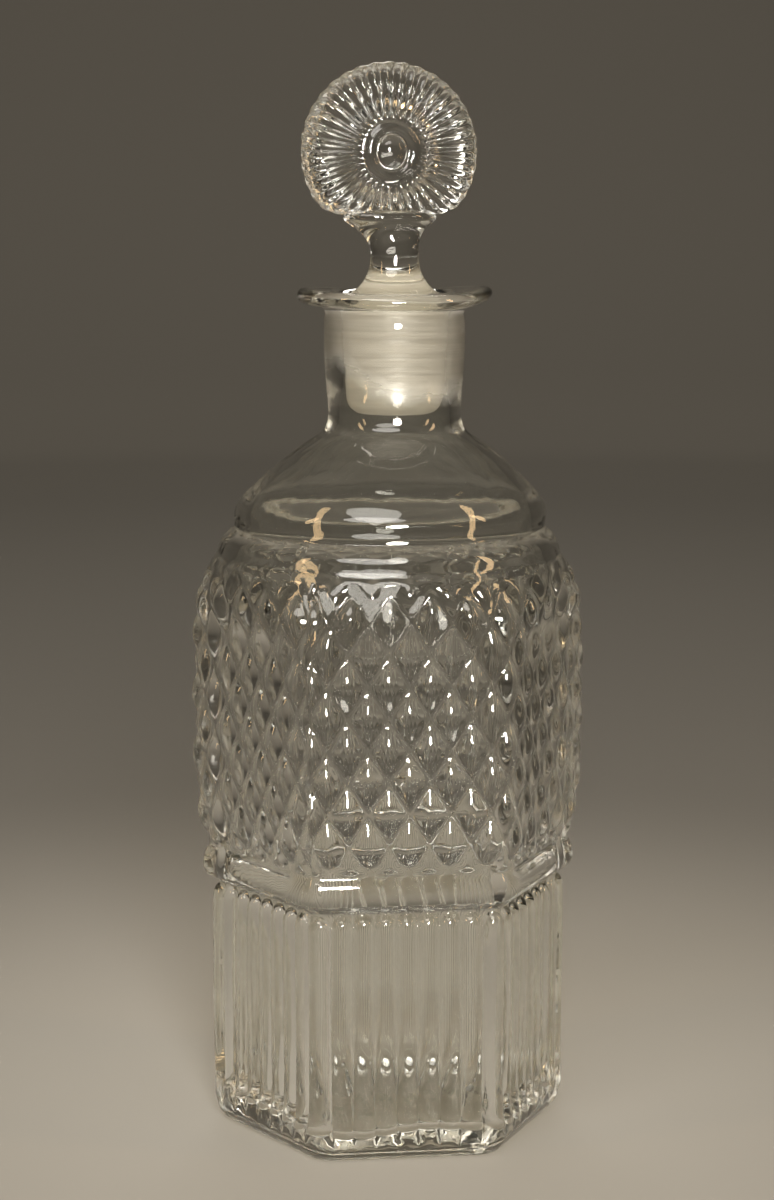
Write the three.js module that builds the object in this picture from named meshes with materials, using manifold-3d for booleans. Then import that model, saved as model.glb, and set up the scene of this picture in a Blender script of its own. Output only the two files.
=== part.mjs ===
// Perfume bottle of clear pressed glass with a ground-in disc stopper.
// Millimetres, +Z up. The origin is the centre of the base and the front face looks along -Y.

import * as THREE from 'three';
import ManifoldModule from 'manifold-3d';
import { mergeVertices } from 'three/addons/utils/BufferGeometryUtils.js';

const wasm = await ManifoldModule();
wasm.setup();

// Body plan: a hexagon with rounded corners, one corner on +X.
const SIDES = 6;
const HALF_SIDE_ANGLE = Math.PI / SIDES;
const ROUND_STEPS = 60;
const INNER_STEPS = 36;

// Heights of the outside, from the base up.
const HEEL_HEIGHT = 5.5;
const RIB_TOP = 53.0;
const BAND_LOW = 54.6;
const BAND_HIGH = 62.4;
const DIAMOND_FIRST_ROW = 70.0;
const DIAMOND_ROW_PITCH = 6.66;
const DIAMOND_ROWS = 8;
const LEDGE = 125.0;
const SHOULDER_FOOT = 130.6;
const NECK_FOOT = 152.0;
const LIP_UNDERSIDE = 177.7;
const LIP_TOP = 181.0;

// Widths of the outside, as distances from the axis to a rounded corner.
const LOWER_RADIUS = 38.6;
const LOWER_ROUNDING = 5.5;
const GROOVE_RADIUS = 37.9;
const BAND_RADIUS = 40.7;
const DIAMOND_RADIUS = 42.6;
const DIAMOND_ROUNDING = 8.0;
const LEDGE_RADIUS = 36.6;
const SHOULDER_RADIUS = 33.5;
const NECK_RADIUS = 14.0;
const LIP_RADIUS = 20.7;
const LIP_EDGE = 1.2;

// Surface relief.
const RIBS_PER_SIDE = 7;
const CORNER_RIB_SHARE = 0.185;
const RIB_DEPTH = 0.9;
const DIAMONDS_PER_SIDE = 5;
const DIAMOND_DEPTH = 1.4;

// Inside of the bottle.
const FLOOR = 4.8;
const INNER_LOWER_RADIUS = 34.2;
const INNER_UPPER_RADIUS = 37.4;
const INNER_ROUNDING = 14.0;
const NECK_INNER_RADIUS = 11.7;
const BORE_LOW = 163.0;
const BORE_HIGH = 178.6;
const BORE_GAP = 0.3;
const MOUTH_RADIUS = 12.9;

// The neck was tooled by hand and stands a little to one side of the body.
const NECK_OFFSET = 1.2;

// Stopper.
const PLUG_END = 155.0;
const PLUG_END_RADIUS = 8.4;
const PLUG_ROUNDED_TOP = 160.0;
const PLUG_REFERENCE_RADIUS = 10.45;
const PLUG_REFERENCE_HEIGHT = 161.6;
const PLUG_SLOPE = 0.05;
const STEM_RADIUS = 5.1;
const COLLAR_LOW = 189.5;
const COLLAR_WIDE = 195.6;
const COLLAR_TOP = 197.4;
const COLLAR_HALF_WIDTH = 10.1;
const COLLAR_HALF_DEPTH = 5.6;
const DISC_HEIGHT = 210.1;
const DISC_HALF_WIDTH = 19.4;
const DISC_HALF_HEIGHT = 18.9;
const DISC_FOOT = 13.4;
const DISC_TURN = THREE.MathUtils.degToRad(9);
const DISC_OFFSET = -1.1;
const DISC_BUTTON = 4.0;
const FLUTES = 36;
const FLUTE_DEPTH = 0.9;

// Distance from the axis to the middle of a side of a rounded hexagon.
function sideDistance(cornerRadius, rounding) {
  return (cornerRadius - rounding) * Math.cos(HALF_SIDE_ANGLE) + rounding;
}

// A point of the rounded hexagon. fraction runs round it once, evenly along its edge, from the +X corner.
function outlinePoint(fraction, cornerRadius, rounding, relief) {
  const along = fraction * SIDES;
  const side = Math.floor(along);
  const distance = sideDistance(cornerRadius, rounding);
  const halfFlat = (distance - rounding) * Math.tan(HALF_SIDE_ANGLE);
  const halfLength = halfFlat + rounding * HALF_SIDE_ANGLE;
  const position = (along - side - 0.5) * 2 * halfLength;
  const flat = THREE.MathUtils.clamp(position, -halfFlat, halfFlat);
  const turn = (position - flat) / rounding;
  const facing = (side + 0.5) * 2 * HALF_SIDE_ANGLE;
  const normal = new THREE.Vector2(Math.cos(facing + turn), Math.sin(facing + turn));
  const middle = new THREE.Vector2(Math.cos(facing), Math.sin(facing)).multiplyScalar(distance - rounding);
  const tangent = new THREE.Vector2(-Math.sin(facing), Math.cos(facing)).multiplyScalar(flat);
  return middle.add(tangent).add(normal.multiplyScalar(rounding + relief));
}

// Sideways shift of the bottle's axis at a height.
function axisShift(z) {
  return NECK_OFFSET * THREE.MathUtils.smoothstep(z, LEDGE, NECK_FOOT);
}

// A ring is a list of { fraction, x, y, z }, evenly spaced unless stations are given.
function ring(z, cornerRadius, rounding, stations) {
  return stations.map(({ fraction, relief }) => {
    const point = outlinePoint(fraction, cornerRadius, rounding, relief);
    return { fraction, x: point.x + axisShift(z), y: point.y, z };
  });
}

function evenStations(count) {
  return Array.from({ length: count }, (_, i) => ({ fraction: i / count, relief: 0 }));
}

// Three stations to a rib: the groove beside it and the two edges of its crown.
function ribStations(depth) {
  const pitch = (1 - CORNER_RIB_SHARE) / RIBS_PER_SIDE;
  const stations = [];
  const addRib = (start, width) => {
    stations.push({ fraction: start, relief: -depth });
    stations.push({ fraction: start + width * 0.28, relief: 0 });
    stations.push({ fraction: start + width * 0.72, relief: 0 });
  };
  for (let side = 0; side < SIDES; side += 1) {
    const first = side + CORNER_RIB_SHARE / 2;
    for (let rib = 0; rib < RIBS_PER_SIDE; rib += 1) {
      addRib((first + rib * pitch) / SIDES, pitch / SIDES);
    }
    addRib((first + RIBS_PER_SIDE * pitch) / SIDES, CORNER_RIB_SHARE / SIDES);
  }
  return stations.map((station) => ({ fraction: station.fraction % 1, relief: station.relief }))
    .sort((a, b) => a.fraction - b.fraction);
}

// Stations of a diamond row: points and groove crossings take turns, and shift by one on each row.
function diamondStations(row, depth) {
  const count = 2 * DIAMONDS_PER_SIDE * SIDES;
  return evenStations(count).map(({ fraction }, i) => ({
    fraction,
    relief: (i + row) % 2 === 1 ? 0 : -depth,
  }));
}

// A closed surface through a list of rings, from the first centre point to the last.
class RingSurface {
  constructor(start) {
    this.positions = [start.x, start.y, start.z];
    this.triangles = [];
    this.previous = [{ fraction: 0, index: 0 }];
  }

  add(points, valleyParity = 0) {
    const first = this.positions.length / 3;
    points.forEach(({ x, y, z }) => this.positions.push(x, y, z));
    const next = points.map(({ fraction }, i) => ({ fraction, index: first + i }));
    this.join(this.previous, next, valleyParity);
    this.previous = next;
    return this;
  }

  close(end) {
    return this.add([{ fraction: 0, ...end }]);
  }

  join(lower, upper, valleyParity) {
    if (lower.length === 1 || upper.length === 1) {
      this.joinPoint(lower, upper);
    } else if (lower.length === upper.length) {
      this.joinEqual(lower, upper, valleyParity);
    } else {
      this.joinUnequal(lower, upper);
    }
  }

  joinPoint(lower, upper) {
    const many = lower.length === 1 ? upper : lower;
    many.forEach((item, i) => {
      const after = many[(i + 1) % many.length];
      if (lower.length === 1) {
        this.triangles.push(lower[0].index, after.index, item.index);
      } else {
        this.triangles.push(item.index, after.index, upper[0].index);
      }
    });
  }

  // valleyParity 1 or 2 lays the diagonals along the grooves of a diamond pattern.
  joinEqual(lower, upper, valleyParity) {
    const count = lower.length;
    for (let i = 0; i < count; i += 1) {
      const j = (i + 1) % count;
      const [a, b, c, d] = [lower[i].index, lower[j].index, upper[j].index, upper[i].index];
      if (valleyParity > 0 && (i + valleyParity) % 2 === 0) {
        this.triangles.push(a, b, d, b, c, d);
      } else {
        this.triangles.push(a, b, c, a, c, d);
      }
    }
  }

  joinUnequal(lower, upper) {
    let i = 0;
    let j = 0;
    const at = (items, k) => items[k % items.length].fraction + Math.floor(k / items.length);
    while (i < lower.length || j < upper.length) {
      const a = lower[i % lower.length].index;
      const b = upper[j % upper.length].index;
      const lowerFirst = at(lower, i + 1) - lower[0].fraction < at(upper, j + 1) - upper[0].fraction;
      if (j >= upper.length || (i < lower.length && lowerFirst)) {
        this.triangles.push(a, lower[(i + 1) % lower.length].index, b);
        i += 1;
      } else {
        this.triangles.push(a, upper[(j + 1) % upper.length].index, b);
        j += 1;
      }
    }
  }

  geometry() {
    const geometry = new THREE.BufferGeometry();
    geometry.setAttribute('position', new THREE.Float32BufferAttribute(this.positions, 3));
    geometry.setIndex(this.triangles);
    return geometry;
  }
}

function addRibbedPart(surface) {
  const heelFoot = { z: 0, radius: LOWER_RADIUS - 4.6 };
  const heelEdge = { z: 0.8, radius: LOWER_RADIUS - 2.6 };
  const heelSide = { z: 2.6, radius: LOWER_RADIUS - 1.0 };
  surface.add(ring(heelFoot.z, heelFoot.radius, LOWER_ROUNDING, ribStations(0)));
  surface.add(ring(heelEdge.z, heelEdge.radius, LOWER_ROUNDING, ribStations(RIB_DEPTH / 2)));
  surface.add(ring(heelSide.z, heelSide.radius, LOWER_ROUNDING, ribStations(RIB_DEPTH)));
  surface.add(ring(HEEL_HEIGHT, LOWER_RADIUS - 0.2, LOWER_ROUNDING, ribStations(RIB_DEPTH)));
  surface.add(ring(RIB_TOP - 2, LOWER_RADIUS, LOWER_ROUNDING, ribStations(RIB_DEPTH)));
  surface.add(ring(RIB_TOP, GROOVE_RADIUS, LOWER_ROUNDING, ribStations(0.1)));
}

// The plain band is half round in section.
function addBand(surface) {
  const steps = 6;
  for (let i = 0; i <= steps; i += 1) {
    const angle = (i / steps) * Math.PI;
    const z = THREE.MathUtils.lerp(BAND_LOW, BAND_HIGH, (1 - Math.cos(angle)) / 2);
    const radius = GROOVE_RADIUS + 0.4 + (BAND_RADIUS - GROOVE_RADIUS - 0.4) * Math.sin(angle);
    surface.add(ring(z, radius, LOWER_ROUNDING, evenStations(ROUND_STEPS)));
  }
}

// Corner distance and rounding of the diamond section, which swells in the middle of its height.
function diamondSection(z) {
  const middle = (DIAMOND_FIRST_ROW + LEDGE) / 2 - 2;
  const along = (z - middle) / (LEDGE - middle);
  const fall = along > 0 ? 4.4 * along ** 7 : 1.6 * (-along) ** 5;
  const toRound = THREE.MathUtils.smoothstep(z, LEDGE - 16, LEDGE);
  const radius = DIAMOND_RADIUS - fall;
  return { radius, rounding: THREE.MathUtils.lerp(DIAMOND_ROUNDING, radius, toRound) };
}

function addDiamonds(surface) {
  for (let row = 0; row < DIAMOND_ROWS; row += 1) {
    const z = DIAMOND_FIRST_ROW + row * DIAMOND_ROW_PITCH;
    const { radius, rounding } = diamondSection(z);
    const parity = row === 0 ? 0 : 2 - (row % 2);
    surface.add(ring(z, radius, rounding, diamondStations(row, DIAMOND_DEPTH)), parity);
  }
}

// The shoulder: a rounded ledge, a small step and a dome that runs up into the neck.
function addShoulder(surface) {
  const profile = [
    [LEDGE - 3.0, LEDGE_RADIUS + 1.5],
    [LEDGE, LEDGE_RADIUS],
    [LEDGE + 2.7, LEDGE_RADIUS - 0.5],
    [LEDGE + 4.7, LEDGE_RADIUS - 2.1],
    [SHOULDER_FOOT, SHOULDER_RADIUS - 0.2],
    [SHOULDER_FOOT + 1.8, SHOULDER_RADIUS],
    [SHOULDER_FOOT + 4.6, SHOULDER_RADIUS - 0.2],
    [SHOULDER_FOOT + 6.4, SHOULDER_RADIUS - 1.4],
    [SHOULDER_FOOT + 9.0, SHOULDER_RADIUS - 3.9],
    [SHOULDER_FOOT + 12.2, SHOULDER_RADIUS - 7.1],
    [SHOULDER_FOOT + 15.2, SHOULDER_RADIUS - 10.5],
    [SHOULDER_FOOT + 17.6, SHOULDER_RADIUS - 14.0],
    [SHOULDER_FOOT + 19.4, SHOULDER_RADIUS - 17.2],
    [NECK_FOOT, NECK_RADIUS + 0.6],
  ];
  profile.forEach(([z, radius]) => surface.add(ring(z, radius, radius, evenStations(ROUND_STEPS))));
}

// The neck is slightly barrel-shaped and ends in a flat lip with a round edge.
function addNeckAndLip(surface) {
  const profile = [
    [NECK_FOOT + 2.6, NECK_RADIUS + 0.1],
    [NECK_FOOT + 9.0, NECK_RADIUS + 0.6],
    [NECK_FOOT + 19.6, NECK_RADIUS + 1.0],
    [LIP_UNDERSIDE - 1.0, NECK_RADIUS + 0.8],
    [LIP_UNDERSIDE, NECK_RADIUS + 1.8],
    [LIP_UNDERSIDE, LIP_RADIUS - LIP_EDGE],
    [LIP_UNDERSIDE + 0.6, LIP_RADIUS - 0.3],
    [(LIP_UNDERSIDE + LIP_TOP) / 2, LIP_RADIUS],
    [LIP_TOP - 0.6, LIP_RADIUS - 0.3],
    [LIP_TOP, LIP_RADIUS - LIP_EDGE],
    [LIP_TOP, MOUTH_RADIUS + 0.6],
  ];
  profile.forEach(([z, radius]) => surface.add(ring(z, radius, radius, evenStations(ROUND_STEPS))));
}

// Radius of the plug's ground taper at a height.
function plugRadius(z) {
  return PLUG_REFERENCE_RADIUS + PLUG_SLOPE * (z - PLUG_REFERENCE_HEIGHT);
}

// The bore, the inside of the neck and the smooth inside of the body, from the mouth down.
function addInside(surface) {
  const round = [
    [LIP_TOP - 0.5, MOUTH_RADIUS],
    [BORE_HIGH, plugRadius(BORE_HIGH) + BORE_GAP],
    [BORE_LOW, plugRadius(BORE_LOW) + BORE_GAP],
    [BORE_LOW - 3, NECK_INNER_RADIUS],
    [NECK_FOOT + 1, NECK_INNER_RADIUS],
    [NECK_FOOT - 3.0, NECK_INNER_RADIUS + 3.2],
    [SHOULDER_FOOT + 14.0, SHOULDER_RADIUS - 12.2],
    [SHOULDER_FOOT + 8.0, SHOULDER_RADIUS - 6.2],
    [SHOULDER_FOOT + 3.0, SHOULDER_RADIUS - 3.4],
    [SHOULDER_FOOT - 3.0, SHOULDER_RADIUS - 2.2],
    [LEDGE - 3.0, LEDGE_RADIUS - 2.6],
  ];
  const hexagonal = [
    [LEDGE - 10, INNER_UPPER_RADIUS, INNER_ROUNDING + 6],
    [DIAMOND_FIRST_ROW + 18, INNER_UPPER_RADIUS, INNER_ROUNDING],
    [DIAMOND_FIRST_ROW, INNER_UPPER_RADIUS - 0.6, INNER_ROUNDING],
    [BAND_LOW, INNER_LOWER_RADIUS + 0.8, INNER_ROUNDING],
    [RIB_TOP - 8, INNER_LOWER_RADIUS, INNER_ROUNDING],
    [FLOOR + 6, INNER_LOWER_RADIUS, INNER_ROUNDING],
    [FLOOR + 2.0, INNER_LOWER_RADIUS - 1.0, INNER_ROUNDING],
    [FLOOR + 0.5, INNER_LOWER_RADIUS - 3.2, INNER_ROUNDING],
    [FLOOR, INNER_LOWER_RADIUS - 6.5, INNER_ROUNDING],
  ];
  round.forEach(([z, radius]) => surface.add(ring(z, radius, radius, evenStations(INNER_STEPS))));
  hexagonal.forEach(([z, radius, rounding]) => {
    surface.add(ring(z, radius, rounding, evenStations(INNER_STEPS)));
  });
}

function bottleGeometry() {
  const surface = new RingSurface({ x: 0, y: 0, z: 0 });
  addRibbedPart(surface);
  addBand(surface);
  addDiamonds(surface);
  addShoulder(surface);
  addNeckAndLip(surface);
  addInside(surface);
  surface.close({ x: 0, y: 0, z: FLOOR });
  return surface.geometry();
}

// A geometry as a closed solid that can be joined to another.
function solidFrom(geometry) {
  const bare = geometry.clone();
  bare.deleteAttribute('normal');
  bare.deleteAttribute('uv');
  const merged = mergeVertices(bare);
  return new wasm.Manifold(new wasm.Mesh({
    numProp: 3,
    vertProperties: merged.attributes.position.array,
    triVerts: new Uint32Array(merged.index.array),
  }));
}

function geometryFrom(solid) {
  const mesh = solid.getMesh();
  const geometry = new THREE.BufferGeometry();
  geometry.setAttribute('position', new THREE.BufferAttribute(mesh.vertProperties, 3));
  geometry.setIndex(new THREE.BufferAttribute(mesh.triVerts, 1));
  return geometry;
}

// Ground plug, skirt and stem in one turned profile.
function stemGeometry() {
  const plugTop = BORE_HIGH - 0.4;
  const profile = [
    [0, PLUG_END],
    [PLUG_END_RADIUS - 0.8, PLUG_END],
    [PLUG_END_RADIUS + 0.7, PLUG_END + 1.0],
    [PLUG_END_RADIUS + 1.6, PLUG_END + 2.7],
    [plugRadius(PLUG_ROUNDED_TOP), PLUG_ROUNDED_TOP],
    [plugRadius(plugTop), plugTop],
    [plugRadius(plugTop) - 0.5, plugTop + 1.1],
    [STEM_RADIUS + 3.9, plugTop + 2.6],
    [STEM_RADIUS + 2.0, plugTop + 4.1],
    [STEM_RADIUS + 0.8, plugTop + 5.8],
    [STEM_RADIUS + 0.1, plugTop + 8.0],
    [STEM_RADIUS - 0.1, plugTop + 11.0],
    [STEM_RADIUS, COLLAR_TOP - 0.6],
    [0, COLLAR_TOP - 0.6],
  ];
  const geometry = new THREE.LatheGeometry(profile.map(([r, z]) => new THREE.Vector2(r, z)), 32);
  geometry.rotateX(Math.PI / 2);
  return geometry;
}

// Oval ring of the collar that flares from the stem up to the disc, which stands to one side.
function collarRing(z, halfWidth, halfDepth) {
  const count = 32;
  const shift = DISC_OFFSET * THREE.MathUtils.smoothstep(z, COLLAR_LOW, COLLAR_WIDE);
  return Array.from({ length: count }, (_, i) => {
    const angle = (i / count) * 2 * Math.PI;
    return { fraction: i / count, x: shift + halfWidth * Math.cos(angle), y: halfDepth * Math.sin(angle), z };
  });
}

function collarGeometry() {
  const surface = new RingSurface({ x: 0, y: 0, z: COLLAR_LOW - 2 });
  const steps = 6;
  surface.add(collarRing(COLLAR_LOW - 2, STEM_RADIUS - 0.6, STEM_RADIUS - 0.6));
  for (let i = 0; i <= steps; i += 1) {
    const rise = i / steps;
    const z = THREE.MathUtils.lerp(COLLAR_LOW, COLLAR_WIDE, rise);
    const flare = 1 - Math.sqrt(1 - 0.96 * rise * rise);
    const wide = THREE.MathUtils.lerp(STEM_RADIUS - 0.3, COLLAR_HALF_WIDTH, flare / 0.8);
    const deep = THREE.MathUtils.lerp(STEM_RADIUS - 0.3, COLLAR_HALF_DEPTH, flare / 0.8);
    surface.add(collarRing(z, wide, deep));
  }
  surface.add(collarRing(COLLAR_WIDE + 0.8, COLLAR_HALF_WIDTH + 0.1, COLLAR_HALF_DEPTH + 0.1));
  surface.add(collarRing(COLLAR_TOP, COLLAR_HALF_WIDTH - 0.7, COLLAR_HALF_DEPTH - 0.9));
  surface.close({ x: 0, y: 0, z: COLLAR_TOP + 0.3 });
  return surface.geometry();
}

// How far the disc's outline is drawn in at an angle, because it stands on the collar with a flat foot.
function footShare(angle) {
  const down = Math.max(-Math.sin(angle), 0.01);
  const flat = DISC_FOOT / (DISC_HALF_HEIGHT * down);
  return (1 + flat ** -12) ** (-1 / 12);
}

// Ring of the disc, as a share of its outline, standing off its middle plane.
function discRing(share, height, count, relief) {
  return Array.from({ length: count }, (_, i) => {
    const angle = (i / count) * 2 * Math.PI;
    const depth = height - (i % 2 === 0 ? 0 : relief);
    const drawnIn = THREE.MathUtils.smoothstep(share, 0.45, 1) * (1 - footShare(angle));
    const reach = share * (1 - drawnIn);
    const x = reach * DISC_HALF_WIDTH * Math.cos(angle);
    const y = reach * DISC_HALF_HEIGHT * Math.sin(angle);
    return { fraction: i / count, x, y, z: depth };
  });
}

// One face from its middle out: button, ring, hollow, flutes and plain rim.
const DISC_FACE = [
  { share: 0.10, height: 3.8 },
  { share: 0.18, height: 3.1 },
  { share: 0.22, height: 2.4 },
  { share: 0.27, height: 3.1 },
  { share: 0.32, height: 2.4 },
  { share: 0.42, height: 2.1 },
  { share: 0.49, height: 2.7, flute: 0.2 },
  { share: 0.68, height: 3.4, flute: FLUTE_DEPTH },
  { share: 0.84, height: 3.0, flute: FLUTE_DEPTH * 0.8 },
  { share: 0.89, height: 2.5, flute: 0.1 },
  { share: 0.96, height: 1.7, flute: 0 },
];

function discGeometry() {
  const steps = ({ flute }) => (flute === undefined ? FLUTES / 2 : FLUTES * 2);
  const surface = new RingSurface({ x: 0, y: 0, z: -DISC_BUTTON });
  DISC_FACE.forEach((item) => {
    const back = discRing(item.share, item.height, steps(item), item.flute ?? 0);
    surface.add(back.map((point) => ({ ...point, z: -point.z })));
  });
  surface.add(discRing(1, 0, FLUTES * 2, 0));
  [...DISC_FACE].reverse().forEach((item) => {
    surface.add(discRing(item.share, item.height, steps(item), item.flute ?? 0));
  });
  surface.close({ x: 0, y: 0, z: DISC_BUTTON });
  return surface.geometry().rotateX(Math.PI / 2);
}

// The disc and its collar are turned a little about the stem's axis.
function stopperGeometry() {
  const disc = discGeometry().translate(DISC_OFFSET, 0, DISC_HEIGHT);
  const head = solidFrom(disc).add(solidFrom(collarGeometry()));
  const turned = solidFrom(geometryFrom(head).rotateZ(DISC_TURN));
  return geometryFrom(solidFrom(stemGeometry()).add(turned)).translate(NECK_OFFSET, 0, 0);
}

const glass = new THREE.MeshStandardMaterial({ color: 0xd8dccf, roughness: 0.06, metalness: 0 });
const stopperGlass = new THREE.MeshStandardMaterial({ color: 0xe2e3d6, roughness: 0.1, metalness: 0 });

const bottle = new THREE.Mesh(bottleGeometry(), glass);
bottle.name = 'bottle';

const stopper = new THREE.Mesh(stopperGeometry(), stopperGlass);
stopper.name = 'stopper';

const perfumeBottle = new THREE.Group();
perfumeBottle.add(bottle, stopper);

export default perfumeBottle;
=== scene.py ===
import math

import bpy
import numpy as np
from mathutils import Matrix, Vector


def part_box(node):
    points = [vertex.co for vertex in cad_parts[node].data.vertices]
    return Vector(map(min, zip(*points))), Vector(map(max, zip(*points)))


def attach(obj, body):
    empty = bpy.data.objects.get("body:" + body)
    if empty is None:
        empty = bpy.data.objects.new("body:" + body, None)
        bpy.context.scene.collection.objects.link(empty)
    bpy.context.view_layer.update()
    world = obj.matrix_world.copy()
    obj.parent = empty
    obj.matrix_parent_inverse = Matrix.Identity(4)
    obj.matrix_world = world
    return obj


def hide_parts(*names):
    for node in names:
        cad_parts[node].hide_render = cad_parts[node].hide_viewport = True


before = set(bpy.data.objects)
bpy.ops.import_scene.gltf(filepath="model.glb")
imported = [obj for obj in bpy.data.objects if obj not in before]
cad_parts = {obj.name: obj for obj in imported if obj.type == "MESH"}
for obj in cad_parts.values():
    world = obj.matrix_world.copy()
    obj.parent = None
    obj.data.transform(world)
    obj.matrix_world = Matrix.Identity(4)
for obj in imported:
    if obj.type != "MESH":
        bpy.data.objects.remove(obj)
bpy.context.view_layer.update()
mm = 0.001
weldReach = 0.008 * mm       # vertices closer than this are one vertex
lipTop = round(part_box("bottle")[1].z / mm, 1)
stopperTop = round(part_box("stopper")[1].z / mm, 1)
print("frame loaded, lip at", lipTop, "mm, stopper top at", stopperTop, "mm")

cameraSettings = {
    "lens": 85.5,
    "sensor": 36,            # long side of the picture
    "nearest": 0.01,         # metres
    "standOff": 608 * mm,    # along the floor, from the bottle's axis
    "height": 204.4 * mm,
    "turn": 6.8,             # degrees round to the left of the front face
    "tilt": 8.4,             # degrees downwards
    "aimLeft": 0.04,         # degrees
}


def makeCamera(settings):
    turn = math.radians(settings["turn"])
    place = Vector((-math.sin(turn), -math.cos(turn), 0)) * settings["standOff"]
    place.z = settings["height"]
    bpy.ops.object.camera_add(location=place)
    camera = bpy.context.object
    camera.name = "camera"
    heading = -turn + math.radians(settings["aimLeft"])
    camera.rotation_euler = (math.radians(90 - settings["tilt"]), 0, heading)
    camera.data.lens = settings["lens"]
    camera.data.sensor_width = settings["sensor"]
    camera.data.clip_start = settings["nearest"]
    bpy.context.scene.camera = camera


makeCamera(cameraSettings)
print("camera placed")


def clearSelection():
    if bpy.context.mode != "OBJECT":
        bpy.ops.object.mode_set(mode="OBJECT")
    bpy.ops.object.select_all(action="DESELECT")


# a smooth line through the key points (radius, height), in even steps of about the spacing
def smoothLine(keys, spacing):
    keys = np.array(keys, float)
    ends = np.vstack([2 * keys[0] - keys[1], keys, 2 * keys[-1] - keys[-2]])
    line = [keys[0]]
    for before, here, there, after in zip(ends, ends[1:], ends[2:], ends[3:]):
        steps = max(1, round(float(np.linalg.norm(there - here)) / spacing))
        for share in np.arange(1, steps + 1) / steps:
            pull = (there - before) * share + (2 * before - 5 * here + 4 * there - after) * share ** 2
            bend = (3 * here - before - 3 * there + after) * share ** 3
            line.append(here + 0.5 * (pull + bend))
    return [tuple(point) for point in line]


# a profile drawn by extruding one vertex from point to point, then spun round the upright axis
def spinProfile(name, points, columns):
    clearSelection()
    points = [(radius * mm, height * mm) for radius, height in points]
    bpy.ops.mesh.primitive_plane_add(size=mm, location=(0, 0, 0))
    piece = bpy.context.object
    piece.name = name
    bpy.ops.object.mode_set(mode="EDIT")
    bpy.ops.mesh.select_mode(type="VERT")
    bpy.ops.mesh.select_all(action="SELECT")
    bpy.ops.mesh.merge(type="CENTER")
    bpy.ops.transform.translate(value=(points[0][0], 0, points[0][1]))
    for here, there in zip(points, points[1:]):
        step = (there[0] - here[0], 0, there[1] - here[1])
        bpy.ops.mesh.extrude_region_move(TRANSFORM_OT_translate={"value": step})
    bpy.ops.mesh.select_all(action="SELECT")
    bpy.ops.mesh.spin(steps=columns, angle=2 * math.pi, center=(0, 0, 0), axis=(0, 0, 1))
    bpy.ops.mesh.select_all(action="SELECT")
    bpy.ops.mesh.remove_doubles(threshold=weldReach)
    bpy.ops.mesh.normals_make_consistent(inside=False)
    bpy.ops.object.mode_set(mode="OBJECT")
    return piece


def readPoints(piece):
    flat = np.empty(len(piece.data.vertices) * 3)
    piece.data.vertices.foreach_get("co", flat)
    return flat.reshape(-1, 3) / mm


def writePoints(piece, points):
    piece.data.vertices.foreach_set("co", (points * mm).ravel())
    piece.data.update()


def smoothStep(value, low, high):
    share = np.clip((value - low) / (high - low), 0, 1)
    return share * share * (3 - 2 * share)


# goes smoothly from the first amount to the second between two limits
def between(value, low, high, first, second):
    return first + (second - first) * smoothStep(value, low, high)


# the point on a rounded hexagon at a share of the way along one side, with its outward direction
def hexagonPoint(side, share, cornerRadius, rounding):
    halfAngle = math.pi / 6
    middle = (cornerRadius - rounding) * math.cos(halfAngle)
    halfFlat = middle * math.tan(halfAngle)
    halfLength = halfFlat + rounding * halfAngle
    along = (share * 2 - 1) * halfLength
    flat = np.clip(along, -halfFlat, halfFlat)
    facing = (side + 0.5) * 2 * halfAngle
    leaning = facing + (along - flat) / rounding
    outward = np.stack([np.cos(leaning), np.sin(leaning)], 1)
    place = np.stack([
        middle * np.cos(facing) - flat * np.sin(facing),
        middle * np.sin(facing) + flat * np.cos(facing),
    ], 1)
    return place + outward * rounding[:, None], outward


# slow unevenness of hand-worked glass, different at every place
def handWaver(points, size, amount):
    x, y, z = (points / size).T
    wave = np.sin(x * 1.7 + 0.6 * z + 1.1) + np.sin(y * 1.3 - 0.9 * z + 2.3)
    wave += np.sin(z * 1.9 + 0.7 * x - 0.8 * y)
    return amount * wave / 3


def joinPieces(main, *others):
    clearSelection()
    for other in others:
        other.select_set(True)
    main.select_set(True)
    bpy.context.view_layer.objects.active = main
    bpy.ops.object.join()
    return main


# closes the gap between the two open edges that lie between two heights
def bridgeBetween(piece, low, high):
    clearSelection()
    bpy.context.view_layer.objects.active = piece
    piece.select_set(True)
    bpy.ops.object.mode_set(mode="EDIT")
    bpy.ops.mesh.select_mode(type="EDGE")
    bpy.ops.mesh.select_all(action="DESELECT")
    bpy.ops.mesh.select_non_manifold(
        use_wire=False, use_multi_face=False, use_non_contiguous=False, use_verts=False)
    bpy.ops.object.mode_set(mode="OBJECT")
    heights = readPoints(piece)[:, 2]
    for edge in piece.data.edges:
        if edge.select and not low < heights[edge.vertices[0]] < high:
            edge.select = False
    bpy.ops.object.mode_set(mode="EDIT")
    bpy.ops.mesh.bridge_edge_loops()
    bpy.ops.object.mode_set(mode="OBJECT")


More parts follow.
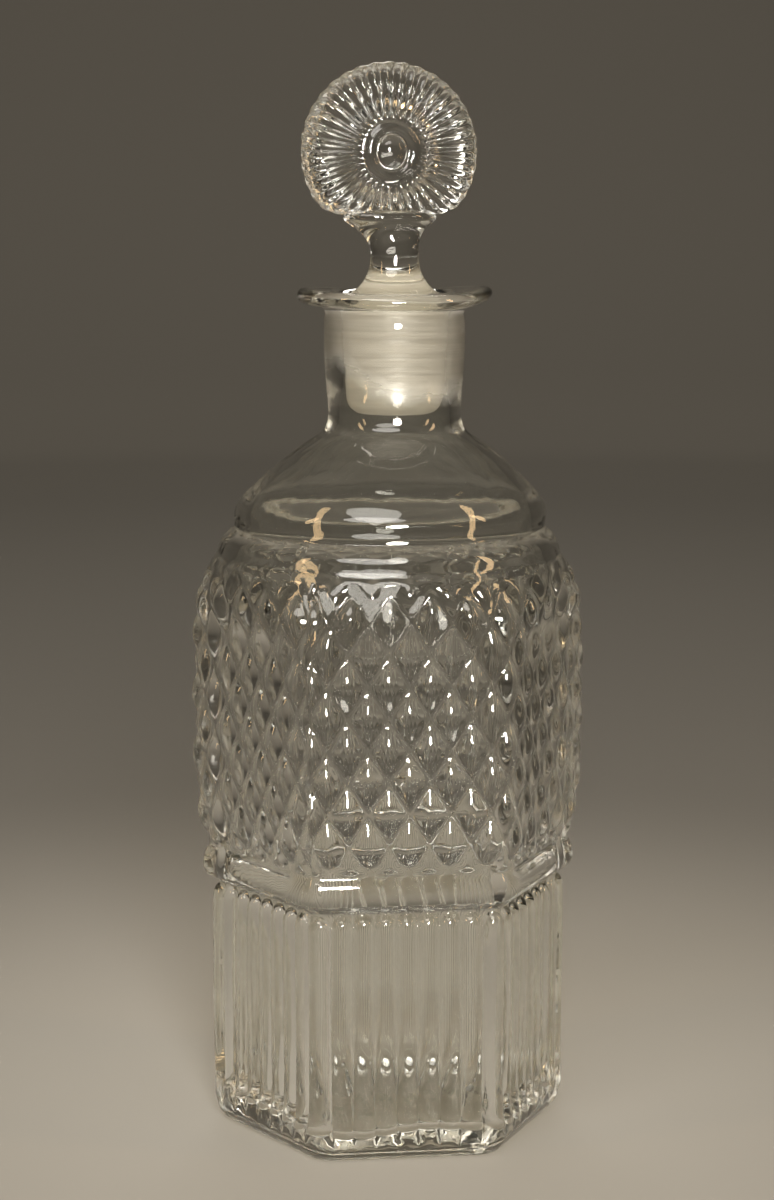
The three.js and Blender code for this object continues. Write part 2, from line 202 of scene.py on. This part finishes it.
# all bottle and stopper sizes are in millimetres
bottle = {
    "sideColumns": 80,        # round the patterned part, for each of the six sides
    "roundColumns": 240,
    "insideColumns": 192,
    "cornerRib": 0.185,       # share of a side taken by the wide rib at each corner
    "ribs": 7,                # between two corner ribs
    "ribDepth": 1.75,
    "ribTop": 53.4,
    "ribBulb": 3.4,           # height of the rounded top of a rib
    "ribFoot": 3.0,           # the ribs fade in from here
    "ribHeel": 13.0,
    "ribFade": (54.0, 55.4),
    "spread": (54, 62),       # where the columns even out above the ribs
    "diamonds": 5,            # to a side
    "diamondDepth": 1.65,
    "diamondGroove": 0.78,    # less is a sharper groove
    "diamondFoot": (62.2, 64.4),
    "diamondTop": (120.0, 124.0),
    "firstRow": 68.7,
    "rowPitch": 6.66,
    "heelCorner": 5.5,        # roundings of the six upright corners
    "ribCorner": 4.0,
    "bandCorner": 3.2,
    "diamondCorner": 8,
    "reliefReach": (20, 33),  # radii between which the underside takes on the ribs
    "waveSize": 16,
    "wave": 0.12,
    "crinkleSize": 3.4,
    "crinkle": 0.035,
    "neckWaveSize": 14,
    "neckWave": 0.12,
    "lipUpturn": 1.1,         # at the right end of the lip
    "insideCorner": 14,
    "insideRibs": 0.1,        # share of the outside's relief that the inside follows
    "insideDiamonds": 0.15,
    "insideWaveSize": 13,
    "floorWave": 0.8,
    "floorWaveLength": 5.5,
    "neckShift": 1.2,         # the neck stands a little to one side
    "shiftFrom": 125.0,
    "shiftTo": 152.0,
    "boreReach": (12.9, 12.5),   # distances from the axis between which the grinding sets in
    "boreLow": (165.5, 170.5),
    "boreWander": 8,
    "boreHigh": (179.0, 178.6),
    "boreSlant": 0.25,        # the grinding reaches lower on one side
    "boreDip": 0.03,          # and lower in front and behind
}

baseLine = [(0, 0.9), (6, 0.88), (14, 0.8), (22, 0.55), (28, 0.12), (31, 0), (33.2, 0)]
heelLine = [(33.2, 0), (34.6, 0.15), (36.1, 0.9), (37.3, 2.3), (38.0, 4.0), (38.4, 6.2)]
wallLine = [(38.4, 6.2), (38.5, 20), (38.6, 35), (38.6, 49.6)]
ribTopLine = [(38.6, 49.6), (38.6, 51.5), (38.6, 53.6)]
bandLine = [(38.6, 53.6), (38.9, 54.3), (39.9, 55.4), (40.5, 56.8), (40.7, 58.2), (40.5, 59.6),
            (40.0, 60.9), (39.4, 61.8), (39.3, 62.3)]
diamondLine = [(39.3, 62.3), (39.9, 63.1), (40.7, 64.8), (41.3, 67), (41.9, 71), (42.4, 77), (42.6, 84),
               (42.6, 92), (42.6, 100), (42.5, 107), (42.2, 112.5), (41.6, 116.2), (40.7, 119.0),
               (39.6, 121.2), (38.6, 122.8)]
ledgeLine = [(38.1, 123.5), (37.4, 124.5), (36.8, 125.6), (36.5, 126.7), (36.1, 127.8), (35.3, 129.0),
             (34.4, 129.9), (33.6, 130.4), (33.3, 130.9)]
domeLine = [(33.3, 130.9), (33.4, 132.4), (33.5, 134.0), (33.2, 135.4), (32.4, 136.8), (29.7, 139.7),
            (26.4, 142.8), (23.5, 145.4), (20.2, 147.9), (17.4, 149.8), (15.7, 151.0), (14.7, 152.3)]
neckLine = [(14.7, 152.3), (14.3, 153.6), (14.1, 155.5), (14.4, 159), (14.9, 165), (15.1, 170.5),
            (15.0, 174.5), (14.8, 176.2), (15.1, 177.1), (16.1, 177.6)]
lipLine = [(16.1, 177.6), (18.8, 177.7), (20.0, 177.9), (20.6, 178.5), (20.8, 179.3), (20.6, 180.2),
           (20.0, 180.8), (18.9, 181.0), (16.5, 180.95), (14.3, 180.9), (13.4, 180.6)]
mouthLine = [(12.8, 180.0), (12.3, 179.3), (11.8, 178.6), (11.55, 177.6), (10.85, 163.4), (10.9, 162),
             (11.3, 160.4), (11.7, 158.4), (11.7, 155), (12.0, 153), (13.4, 150.8), (16.8, 147.9)]
domeInsideLine = [(16.8, 147.9), (20.8, 144.6), (24.4, 141.3), (27.3, 138.4), (29.2, 136.0), (30.2, 133.4),
                  (30.8, 130), (31.6, 126.5), (34.0, 121.6), (36.6, 115), (37.3, 106)]
wallInsideLine = [(37.3, 106), (37.4, 96), (37.4, 84), (36.9, 72), (35.6, 62), (34.8, 54), (34.3, 45),
                  (34.2, 28), (34.2, 11)]
floorLine = [(34.2, 11), (33.7, 7.8), (32.2, 5.8), (29.8, 4.95), (26, 4.8), (14, 5.1), (5, 5.4), (0, 5.45)]


ledgeSeam = 123   # the patterned part stops just below and the neck starts just above


def joinLines(*lines):
    points = list(lines[0])
    for line in lines[1:]:
        points += line[1:]
    return points


# how far a column lies from the middle of its rib, -1 to 1, with columns closer together on the steep flanks
def acrossRib(column):
    perRib = bottle["sideColumns"] / (bottle["ribs"] + 1)
    return np.sin(math.pi / 2 * (((column + perRib / 2) % perRib) / (perRib / 2) - 1))


# where each column stands: even in the diamonds, and gathered at the valleys between the ribs lower down
def columnShare(column, height):
    perRib = bottle["sideColumns"] / (bottle["ribs"] + 1)
    middle = np.floor(column / perRib + 0.5)
    ribWidth = (1 - bottle["cornerRib"]) / bottle["ribs"]
    low, high = bottle["cornerRib"] / 2, 1 - bottle["cornerRib"] / 2
    ribbed = low + (middle - 0.5 + acrossRib(column) / 2) * ribWidth
    ribbed = np.where(middle < 0.5, low * acrossRib(column), ribbed)
    ribbed = np.where(middle > bottle["ribs"] + 0.5, high + low * (1 + acrossRib(column)), ribbed)
    even = column / bottle["sideColumns"]
    return even + (ribbed - even) * (1 - smoothStep(height, *bottle["spread"]))


# upright half-round ribs with rounded tops, cut down from the wall between them
def ribRelief(column, height):
    beyond = np.clip((height - bottle["ribTop"] + bottle["ribBulb"]) / bottle["ribBulb"], 0, None)
    reach = np.minimum(np.hypot(acrossRib(column), beyond), 1)
    fade = smoothStep(height, bottle["ribFoot"], bottle["ribHeel"])
    fade *= 1 - smoothStep(height, *bottle["ribFade"])
    return bottle["ribDepth"] * fade * (np.sqrt(1 - reach ** 2) - 1)


# staggered pillowy diamonds with sharp grooves between them; the halves of the mould stand one row apart
def diamondRelief(side, column, height):
    across = column * bottle["diamonds"] / bottle["sideColumns"] - 0.5
    up = (height - bottle["firstRow"]) / bottle["rowPitch"] / 2 + 0.5 * ((side > 0.5) & (side < 3.5))
    rising = np.abs(np.cos(math.pi * (across + up)))
    falling = np.abs(np.cos(math.pi * (across - up)))
    fade = smoothStep(height, *bottle["diamondFoot"]) * (1 - smoothStep(height, *bottle["diamondTop"]))
    return bottle["diamondDepth"] * fade * ((rising * falling) ** bottle["diamondGroove"] - 1)


# how round the upright corners are at each height, until the ledge is a full circle
def cornerRounding(radius, height):
    heel = between(height, 4, 14, bottle["heelCorner"], bottle["ribCorner"])
    ribbed = between(height, 52.5, 55, heel, bottle["bandCorner"])
    diamond = between(height, 61, 68, ribbed, bottle["diamondCorner"])
    rounded = between(height, 109, 124, diamond, radius)
    underneath = np.minimum(rounded, radius * 0.15 + 1e-4)
    return np.where(height < 7, underneath, rounded)


def neckShift(height):
    return bottle["neckShift"] * smoothStep(height, bottle["shiftFrom"], bottle["shiftTo"])


# moves every point of a round blank to where the six-sided mould leaves it
def pressOutside(piece):
    points = readPoints(piece)
    radius, height = np.hypot(points[:, 0], points[:, 1]), points[:, 2]
    turn = (np.arctan2(points[:, 1], points[:, 0]) / (2 * math.pi)) % 1
    columns = turn * 6 * bottle["sideColumns"]
    side = np.floor(columns / bottle["sideColumns"] + 1e-4)
    column = (columns - side * bottle["sideColumns"]).clip(0)
    place, outward = hexagonPoint(
        side, columnShare(column, height), radius, cornerRounding(radius, height))
    relief = ribRelief(column, height) + diamondRelief(side, column, height)
    relief *= smoothStep(radius, *bottle["reliefReach"])
    relief += handWaver(points, bottle["waveSize"], bottle["wave"]) * smoothStep(height, 3, 8)
    crinkle = handWaver(points, bottle["crinkleSize"], bottle["crinkle"])
    relief += crinkle * smoothStep(height, 62, 66) * (1 - smoothStep(height, 118, 123))
    points[:, :2] = place + outward * relief[:, None]
    points[:, 0] += neckShift(height)
    writePoints(piece, points)


# the shoulder and neck stay round, with a slow wave in them, and the lip is tooled a little unevenly
def workNeck(piece):
    points = readPoints(piece)
    radius, height = np.hypot(points[:, 0], points[:, 1]), points[:, 2].copy()
    turn = np.arctan2(points[:, 1], points[:, 0])
    swell = 1 + handWaver(points, bottle["neckWaveSize"], bottle["neckWave"]) / np.maximum(radius, 8)
    points[:, :2] *= swell[:, None]
    lip = smoothStep(radius, 13.5, 20.5) * smoothStep(height, 176.5, 177.8)
    tooling = 0.15 + 0.5 * np.cos(2 * turn) - 0.1 * np.cos(turn) + 0.12 * np.sin(3 * turn + 0.5)
    points[:, 2] += lip * tooling
    upturn = bottle["lipUpturn"] - 0.7 * smoothStep(height, 178, lipTop)
    points[:, 2] += lip * smoothStep(points[:, 0], 11, 21) * upturn
    points[:, 0] += neckShift(height)
    writePoints(piece, points)


# the hollow follows the outside softly, over a wavy floor
def pressInside(piece):
    points = readPoints(piece)
    radius, height = np.hypot(points[:, 0], points[:, 1]), points[:, 2]
    turn = (np.arctan2(points[:, 1], points[:, 0]) / (2 * math.pi)) % 1
    side = np.floor(turn * 6 + 1e-5)
    share = (turn * 6 - side).clip(0)
    rounded = between(height, 105, 121, bottle["insideCorner"], radius)
    overFloor = np.minimum(rounded, radius * 0.41 + 1e-4)
    rounding = np.where(height < 12, overFloor, rounded)
    place, outward = hexagonPoint(side, share, radius, rounding)
    column = share * bottle["sideColumns"]
    relief = bottle["insideRibs"] * ribRelief(column, height)
    relief += bottle["insideDiamonds"] * diamondRelief(side, column, height)
    relief = relief * smoothStep(radius, 20, 30)
    floorWave = bottle["floorWave"] * np.sin(points[:, 0] / bottle["floorWaveLength"] + 0.6)
    points[:, 2] += floorWave * smoothStep(radius, 12, 28) * (1 - smoothStep(height, 8, 18))
    amount = 0.1 + 0.2 * smoothStep(height, 52, 70)
    relief += handWaver(points + 40, bottle["insideWaveSize"], 1) * amount * smoothStep(150 - height, 0, 20)
    points[:, :2] = place + outward * relief[:, None]
    points[:, 0] += neckShift(height)
    writePoints(piece, points)


def makeBottle():
    outside = spinProfile("bottleGlass", joinLines(
        smoothLine(baseLine, 5), smoothLine(heelLine, 0.7), smoothLine(wallLine, 4.4),
        smoothLine(ribTopLine, 0.42), smoothLine(bandLine, 0.75), smoothLine(diamondLine, 0.7)),
        bottle["sideColumns"] * 6)
    pressOutside(outside)
    neck = spinProfile("neckGlass", joinLines(
        smoothLine(ledgeLine, 0.8), smoothLine(domeLine, 1.5), smoothLine(neckLine, 1.8),
        smoothLine(lipLine, 0.75)), bottle["roundColumns"])
    workNeck(neck)
    inside = spinProfile("insideGlass", joinLines(
        smoothLine(mouthLine, 1.8), smoothLine(domeInsideLine, 2.4), smoothLine(wallInsideLine, 4),
        smoothLine(floorLine, 2.0)), bottle["insideColumns"])
    pressInside(inside)
    piece = joinPieces(outside, neck, inside)
    bridgeBetween(piece, ledgeSeam - 1, ledgeSeam + 1)
    bridgeBetween(piece, lipTop - 2, lipTop + 1)
    clearSelection()
    piece.select_set(True)
    bpy.context.view_layer.objects.active = piece
    bpy.ops.object.mode_set(mode="EDIT")
    bpy.ops.mesh.select_all(action="SELECT")
    bpy.ops.mesh.normals_make_consistent(inside=False)
    bpy.ops.object.mode_set(mode="OBJECT")
    bpy.ops.object.shade_smooth()
    return piece


bottlePiece = makeBottle()
print("bottle made,", len(bottlePiece.data.polygons), "faces")

stopper = {
    "stemColumns": 96,
    "flutes": 36,
    "fluteColumns": 10,
    "fluteDepth": 1.15,
    "fluteFrom": 0.36,        # shares of the disc's radius
    "fluteTo": 0.955,
    "fluteEnd": 0.05,         # how long a flute's rounded end is
    "scallop": 0.012,
    "buttonNarrow": 0.80,     # the button is an upright oval
    "discHalfWidth": 19.4,
    "discHalfHeight": 18.9,
    "discFoot": 13.4,         # from the disc's middle down to its flat foot
    "discTurn": 9,            # degrees
    "discOffset": -1.1,
    "collarFrom": 189.4,
    "collarTo": 195.8,
    "collarDepth": 0.56,      # of its width
    "discTurnFrom": 187,      # the part above is turned a little in the neck
    "discTurnTo": 189,
    "groundTop": (178.0, 177.6),   # heights between which the grinding sets in, going down
}
stopper["discHeight"] = stopperTop - stopper["discHalfHeight"]

plugLine = [(0, 155.0), (4.5, 155.05), (7.0, 155.2), (8.3, 155.7), (9.3, 156.8), (9.9, 158.3), (10.25, 160)]
taperLine = [(10.25, 160), (10.45, 161.6), (11.24, 177.4)]
skirtLine = [(11.24, 177.4), (11.15, 178.4), (10.4, 179.6), (9.2, 180.6), (7.9, 181.6), (6.9, 182.7),
             (6.1, 184.0), (5.5, 185.4), (5.2, 187), (5.05, 188.8), (5.2, 190.2)]
collarLine = [(5.2, 190.2), (5.65, 191.4), (6.3, 192.6), (7.1, 193.6), (8.1, 194.5), (9.2, 195.2),
              (9.9, 195.8), (10.15, 196.4), (9.9, 197.0), (9.0, 197.5), (6.0, 197.8), (0, 197.9)]

faceRadius = 20   # of the blank that the disc is pressed from; its outline is given in shares of this
discFaceLine = [(0, 3.9), (0.08, 3.75), (0.14, 3.3), (0.18, 2.6), (0.21, 2.2), (0.235, 2.6), (0.265, 3.0),
                (0.295, 2.75), (0.32, 2.3), (0.36, 2.15), (0.42, 2.3), (0.46, 2.6), (0.52, 3.0),
                (0.62, 3.3), (0.74, 3.35), (0.84, 3.1), (0.90, 2.75), (0.94, 2.3), (0.97, 1.65),
                (0.99, 0.9), (1.0, 0)]


# rounds the disc off to a flat foot where it stands on the collar
def footShare(turn):
    down = np.maximum(-np.sin(turn), 0.01)
    flat = stopper["discFoot"] / (stopper["discHalfHeight"] * down)
    return (1 + flat ** -12) ** (-1 / 12)


# scooped flutes like petals, with the back's half a flute out of step
def fluteRelief(share, turn, face):
    wave = (turn / (2 * math.pi) * stopper["flutes"] + 0.5 * (face < 0)) % 1
    across = np.abs(wave * 2 - 1)
    outer = np.clip((share - stopper["fluteTo"] + stopper["fluteEnd"]) / stopper["fluteEnd"], 0, None)
    inner = np.clip((stopper["fluteFrom"] + stopper["fluteEnd"] - share) / stopper["fluteEnd"], 0, None)
    reach = np.sqrt(across ** 2 + outer ** 2 + inner ** 2)
    fade = smoothStep(share, 0.34, 0.52) * (1 - 0.75 * smoothStep(share, 0.93, 0.99))
    return -stopper["fluteDepth"] * fade * np.minimum(reach, 1) ** 1.5


def makeDisc():
    face = smoothLine([(share * faceRadius, height) for share, height in discFaceLine], 0.62)
    back = [(radius, -height) for radius, height in reversed(face[:-1])]
    piece = spinProfile("discGlass", face + back, stopper["flutes"] * stopper["fluteColumns"])
    points = readPoints(piece)
    share = np.hypot(points[:, 0], points[:, 1]) / faceRadius
    turn = np.arctan2(points[:, 1], points[:, 0])
    face = np.sign(points[:, 2])
    thickness = points[:, 2] + face * fluteRelief(share, turn, face)
    reach = share * (1 - smoothStep(share, 0.45, 1) * (1 - footShare(turn)))
    narrow = stopper["buttonNarrow"] + (1 - stopper["buttonNarrow"]) * smoothStep(share, 0.12, 0.42)
    reach *= 1 - stopper["scallop"] * smoothStep(share, 0.9, 1) * (1 - np.cos(stopper["flutes"] * turn)) / 2
    upright = np.stack([
        reach * narrow * stopper["discHalfWidth"] * np.cos(turn) + stopper["discOffset"],
        -thickness,
        reach * stopper["discHalfHeight"] * np.sin(turn) + stopper["discHeight"],
    ], 1)
    writePoints(piece, upright)
    return piece


def makeStem():
    piece = spinProfile("stopperGlass", joinLines(
        smoothLine(plugLine, 0.7), smoothLine(taperLine, 2.2), smoothLine(skirtLine, 0.6),
        smoothLine(collarLine, 0.5)), stopper["stemColumns"])
    points = readPoints(piece)
    rise = smoothStep(points[:, 2], stopper["collarFrom"], stopper["collarTo"])
    points[:, 1] *= 1 + rise * (stopper["collarDepth"] - 1)
    points[:, 0] += stopper["discOffset"] * rise
    writePoints(piece, points)
    return piece


def makeStopper():
    disc = makeDisc()
    piece = makeStem()
    clearSelection()
    piece.select_set(True)
    bpy.context.view_layer.objects.active = piece
    fuse = piece.modifiers.new("fuse", "BOOLEAN")
    fuse.operation = "UNION"
    fuse.solver = "EXACT"
    fuse.object = disc
    bpy.ops.object.modifier_apply(modifier="fuse")
    bpy.data.objects.remove(disc)
    points = readPoints(piece)
    turn = math.radians(stopper["discTurn"])
    turn = turn * smoothStep(points[:, 2], stopper["discTurnFrom"], stopper["discTurnTo"])
    x, y = points[:, 0].copy(), points[:, 1].copy()
    points[:, 0] = x * np.cos(turn) - y * np.sin(turn) + bottle["neckShift"]
    points[:, 1] = x * np.sin(turn) + y * np.cos(turn)
    writePoints(piece, points)
    bpy.ops.object.shade_smooth()
    return piece


stopperPiece = makeStopper()
print("stopper made,", len(stopperPiece.data.polygons), "faces")


glass = {
    "colour": (0.975, 0.98, 0.96, 1),
    "ior": 1.51,
    "film": 0.03,                    # most roughness that handling has left on it
    "filmScale": 60,                 # per metre, as all scales here
    "filmPatches": (0.5, 0.75),      # lows and highs of a noise that a share is taken between
    "rippleScale": 95,
    "rippleStretch": (1, 1, 0.5),
    "ripple": 0.20,                  # millimetres
    "tint": (0.93, 0.90, 0.78, 1),   # faint straw, seen where the glass is thick
    "density": 9,
    "shadow": (0.80, 0.79, 0.76, 1),  # how much lamp light each surface passes on
    "groundDark": (0.37, 0.352, 0.313, 1),
    "groundLight": (0.43, 0.41, 0.367, 1),
    "groundLow": 0.4,                # roughness
    "groundHigh": 0.65,
    "groundPatches": (0.35, 0.65),
    "streakPatches": (0.4, 0.6),
    "groundClear": 0.5,              # share of the light that ground glass lets through
    "grindMarks": 0.10,              # millimetres
    "grindScale": 240,
    "grindStretch": (0.1, 0.1, 5),   # rings round the axis
    "edgeWander": 0.5,               # millimetres
    "driftScale": 120,
}


# a new node, with each socket given either a value or another node's output
def addNode(tree, kind, sockets, **settings):
    node = tree.nodes.new("ShaderNode" + kind)
    for name, value in settings.items():
        setattr(node, name, value)
    for name, value in sockets.items():
        if isinstance(value, bpy.types.NodeSocket):
            tree.links.new(value, node.inputs[name])
        else:
            node.inputs[name].default_value = value
    return node


def objectPlace(tree, **mapping):
    place = addNode(tree, "TexCoord", {}).outputs["Object"]
    return addNode(tree, "Mapping", {"Vector": place} | mapping).outputs["Vector"]


def noise(tree, scale, detail, stretch=(1, 1, 1)):
    place = objectPlace(tree, Scale=stretch)
    return addNode(tree, "TexNoise", {"Vector": place, "Scale": scale, "Detail": detail}).outputs["Fac"]


def calculate(tree, operation, first, second, third=0.0):
    return addNode(tree, "Math", {0: first, 1: second, 2: third}, operation=operation).outputs["Value"]


# 0 at the first limit, 1 at the second
def shareBetween(tree, value, first, second):
    limits = {"Value": value, "From Min": first, "From Max": second}
    return addNode(tree, "MapRange", limits).outputs["Result"]


def valueBetween(tree, share, first, second):
    limits = {"Value": share, "To Min": first, "To Max": second}
    return addNode(tree, "MapRange", limits).outputs["Result"]


# height above the base in millimetres, wandering a little from place to place
def unevenHeight(tree, wander):
    upright = addNode(tree, "SeparateXYZ", {"Vector": objectPlace(tree, Scale=(1000, 1000, 1000))})
    drift = noise(tree, glass["driftScale"], 4, glass["rippleStretch"])
    return calculate(tree, "MULTIPLY_ADD", drift, wander, upright.outputs["Z"])


# 1 where the bore is ground, inside the neck and above a ragged slanted edge
def boreShare(tree):
    shift = (-bottle["neckShift"], 0, 0)
    across = objectPlace(tree, Location=shift, Scale=(1000, 1000, 0))
    away = addNode(tree, "VectorMath", {0: across}, operation="LENGTH").outputs["Value"]
    within = shareBetween(tree, away, *bottle["boreReach"])
    place = addNode(tree, "SeparateXYZ", {"Vector": across})
    wandering = unevenHeight(tree, bottle["boreWander"])
    slanted = calculate(tree, "MULTIPLY_ADD", place.outputs["X"], bottle["boreSlant"], wandering)
    squared = calculate(tree, "MULTIPLY", place.outputs["Y"], place.outputs["Y"])
    lower = calculate(tree, "MULTIPLY_ADD", squared, bottle["boreDip"], slanted)
    above = shareBetween(tree, lower, *bottle["boreLow"])
    below = shareBetween(tree, unevenHeight(tree, glass["edgeWander"]), *bottle["boreHigh"])
    return calculate(tree, "MULTIPLY", within, calculate(tree, "MULTIPLY", above, below))


# 1 where the plug is ground
def plugShare(tree):
    return shareBetween(tree, unevenHeight(tree, glass["edgeWander"]), *stopper["groundTop"])


# clear glass, frosted by grinding wherever the ground share is 1
def makeGlass(name, groundShare):
    material = bpy.data.materials.new(name)
    material.use_nodes = True
    tree = material.node_tree
    shader = tree.nodes["Principled BSDF"]
    ground = groundShare(tree)
    marks = noise(tree, glass["grindScale"], 4, glass["grindStretch"])
    filmShare = shareBetween(tree, noise(tree, glass["filmScale"], 3), *glass["filmPatches"])
    film = valueBetween(tree, filmShare, 0, glass["film"])
    frostShare = shareBetween(tree, marks, *glass["groundPatches"])
    frost = valueBetween(tree, frostShare, glass["groundLow"], glass["groundHigh"])
    roughness = calculate(tree, "MULTIPLY_ADD", ground, frost, film)
    streaks = {"Fac": shareBetween(tree, marks, *glass["streakPatches"]),
               "Color1": glass["groundDark"], "Color2": glass["groundLight"]}
    groundColour = addNode(tree, "MixRGB", streaks).outputs["Color"]
    tint = {"Fac": ground, "Color1": glass["colour"], "Color2": groundColour}
    slowNoise = noise(tree, glass["rippleScale"], 2, glass["rippleStretch"])
    ripple = calculate(tree, "MULTIPLY", slowNoise, glass["ripple"])
    ridges = calculate(tree, "MULTIPLY", marks, glass["grindMarks"])
    relief = calculate(tree, "MULTIPLY_ADD", ground, ridges, ripple)
    bump = addNode(tree, "Bump", {"Height": relief, "Distance": mm})
    shader.inputs["IOR"].default_value = glass["ior"]
    shader.inputs["Transmission Weight"].default_value = 1
    tree.links.new(valueBetween(tree, ground, 1, glass["groundClear"]), shader.inputs["Transmission Weight"])
    tree.links.new(addNode(tree, "MixRGB", tint).outputs["Color"], shader.inputs["Base Color"])
    tree.links.new(roughness, shader.inputs["Roughness"])
    tree.links.new(bump.outputs["Normal"], shader.inputs["Normal"])
    lampRay = addNode(tree, "LightPath", {}).outputs["Is Shadow Ray"]
    passing = addNode(tree, "BsdfTransparent", {"Color": glass["shadow"]}).outputs["BSDF"]
    surface = addNode(tree, "MixShader", {0: lampRay, 1: shader.outputs["BSDF"], 2: passing})
    tree.links.new(surface.outputs["Shader"], tree.nodes["Material Output"].inputs["Surface"])
    depth = addNode(tree, "VolumeAbsorption", {"Color": glass["tint"], "Density": glass["density"]})
    tree.links.new(depth.outputs["Volume"], tree.nodes["Material Output"].inputs["Volume"])
    return material


def dress(piece, material):
    piece.data.materials.clear()
    piece.data.materials.append(material)
    piece.data.polygons.foreach_set("material_index", np.zeros(len(piece.data.polygons), np.int32))


dress(bottlePiece, makeGlass("bottleGlass", boreShare))
dress(stopperPiece, makeGlass("stopperGlass", plugShare))
print("glass made")

pieces = ((bottlePiece, "bottle", "clear_glass"), (stopperPiece, "stopper", "stopper_glass"))
for piece, body, slotName in pieces:
    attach(piece, body)
    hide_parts(body)

studio = {
    "paintedLightPaper": (0.38, 0.36, 0.32, 1),     # painted pool of light, where the bottle stands
    # painted half shade round the painted pool of light
    "paintedHalfShadePaper": (0.18, 0.168, 0.146, 1),
    "paintedDeepShadePaper": (0.13, 0.12, 0.102, 1),     # painted shade, darker further away, on every side
    "paintedLightCentre": (0, 0.07, 0),             # metres; middle of the painted pool of light
    # distances from the middle over which the painted light fades to painted shade
    "paintedHalfShadeReach": 0.30,
    "paintedDeepShadeReach": 1.35,
    "paperStep": 60,                        # millimetres, as the line below
    "paperColumns": 96,
    "paperRoughness": 0.9,
    "paperLine": [(0, 0), (1250, 0), (1450, 40), (1620, 180), (1700, 420), (1700, 900), (1700, 1500)],
    "world": (0.02, 0.0195, 0.018, 1),
}


# one sheet of paper that lies flat and curves up all round, its colour painted with a pool of light round
# the bottle and shade further off
def makeStage():
    line = smoothLine(studio["paperLine"], studio["paperStep"])
    paper = spinProfile("paper", line, studio["paperColumns"])
    bpy.ops.object.shade_smooth()
    material = bpy.data.materials.new("paintedLightPaper")
    material.use_nodes = True
    tree = material.node_tree
    shader = tree.nodes["Principled BSDF"]
    shader.inputs["Roughness"].default_value = studio["paperRoughness"]
    # the colour is painted lighter round the bottle and darker further away: a painted pool of light and
    # painted shade
    fromCentre = [-distance for distance in studio["paintedLightCentre"]]
    across = objectPlace(tree, Location=fromCentre, Scale=(1, 1, 0))
    away = addNode(tree, "VectorMath", {0: across}, operation="LENGTH").outputs["Value"]
    paintedHalfShadeRange = {"Value": away, "From Min": 0, "From Max": studio["paintedHalfShadeReach"]}
    paintedDeepShadeRange = {"Value": away, "From Min": 0, "From Max": studio["paintedDeepShadeReach"]}
    paintedHalfShade = addNode(tree, "MapRange", paintedHalfShadeRange, interpolation_type="SMOOTHSTEP").outputs["Result"]
    paintedDeepShade = addNode(tree, "MapRange", paintedDeepShadeRange, interpolation_type="SMOOTHSTEP").outputs["Result"]
    paintedLightMix = {"Fac": paintedHalfShade, "Color1": studio["paintedLightPaper"], "Color2": studio["paintedHalfShadePaper"]}
    paintedLightColour = addNode(tree, "MixRGB", paintedLightMix).outputs["Color"]
    paintedShadeMix = {"Fac": paintedDeepShade, "Color1": paintedLightColour, "Color2": studio["paintedDeepShadePaper"]}
    tree.links.new(addNode(tree, "MixRGB", paintedShadeMix).outputs["Color"], shader.inputs["Base Color"])
    paper.data.materials.append(material)
    world = bpy.data.worlds.new("studio")
    world.use_nodes = True
    world.node_tree.nodes["Background"].inputs["Color"].default_value = studio["world"]
    bpy.context.scene.world = world


# place and aim in metres, size in metres, power in watts
lights = {
    "nearLight": {"place": (-0.020, -0.630, 0.285), "aim": (0, 0, 0.12), "size": (0.17, 0.17), "power": 7,
                  "colour": (1, 0.95, 0.87)},
    "leftLight": {"place": (-0.70, -0.25, 0.50), "aim": (0, 0, 0.10), "size": (0.08, 0.4), "power": 0.8,
                  "colour": (1, 0.68, 0.36)},
    "rightLight": {"place": (0.65, -0.30, 0.50), "aim": (0, 0, 0.10), "size": (0.08, 0.4), "power": 0.9,
                   "colour": (1, 0.68, 0.36)},
    "overLight": {"place": (-0.30, -0.72, 0.88), "aim": (0, 0, 0.15), "size": (0.8, 0.4), "power": 6,
                  "colour": (1, 0.96, 0.90)},
    "backLight": {"place": (0.10, 0.95, 1.25), "aim": (0, 1.0, 0), "size": (0.9, 0.6), "power": 7,
                  "colour": (1, 0.95, 0.87)},
}


def addSoftLight(name, settings):
    place = Vector(settings["place"])
    bpy.ops.object.light_add(type="AREA", location=place)
    light = bpy.context.object
    light.name = name
    light.data.shape = "ELLIPSE"
    light.data.size, light.data.size_y = settings["size"]
    light.data.energy = settings["power"]
    light.data.color = settings["colour"]
    light.rotation_euler = (Vector(settings["aim"]) - place).to_track_quat("-Z", "Y").to_euler()
    light.visible_camera = False


makeStage()
for name, settings in lights.items():
    addSoftLight(name, settings)
bpy.context.scene.view_settings.view_transform = "Standard"
bpy.context.scene.cycles.caustics_refractive = False
bpy.context.scene.cycles.max_bounces = 32
bpy.context.scene.cycles.transmission_bounces = 32
bpy.context.scene.cycles.glossy_bounces = 12
print("studio made")
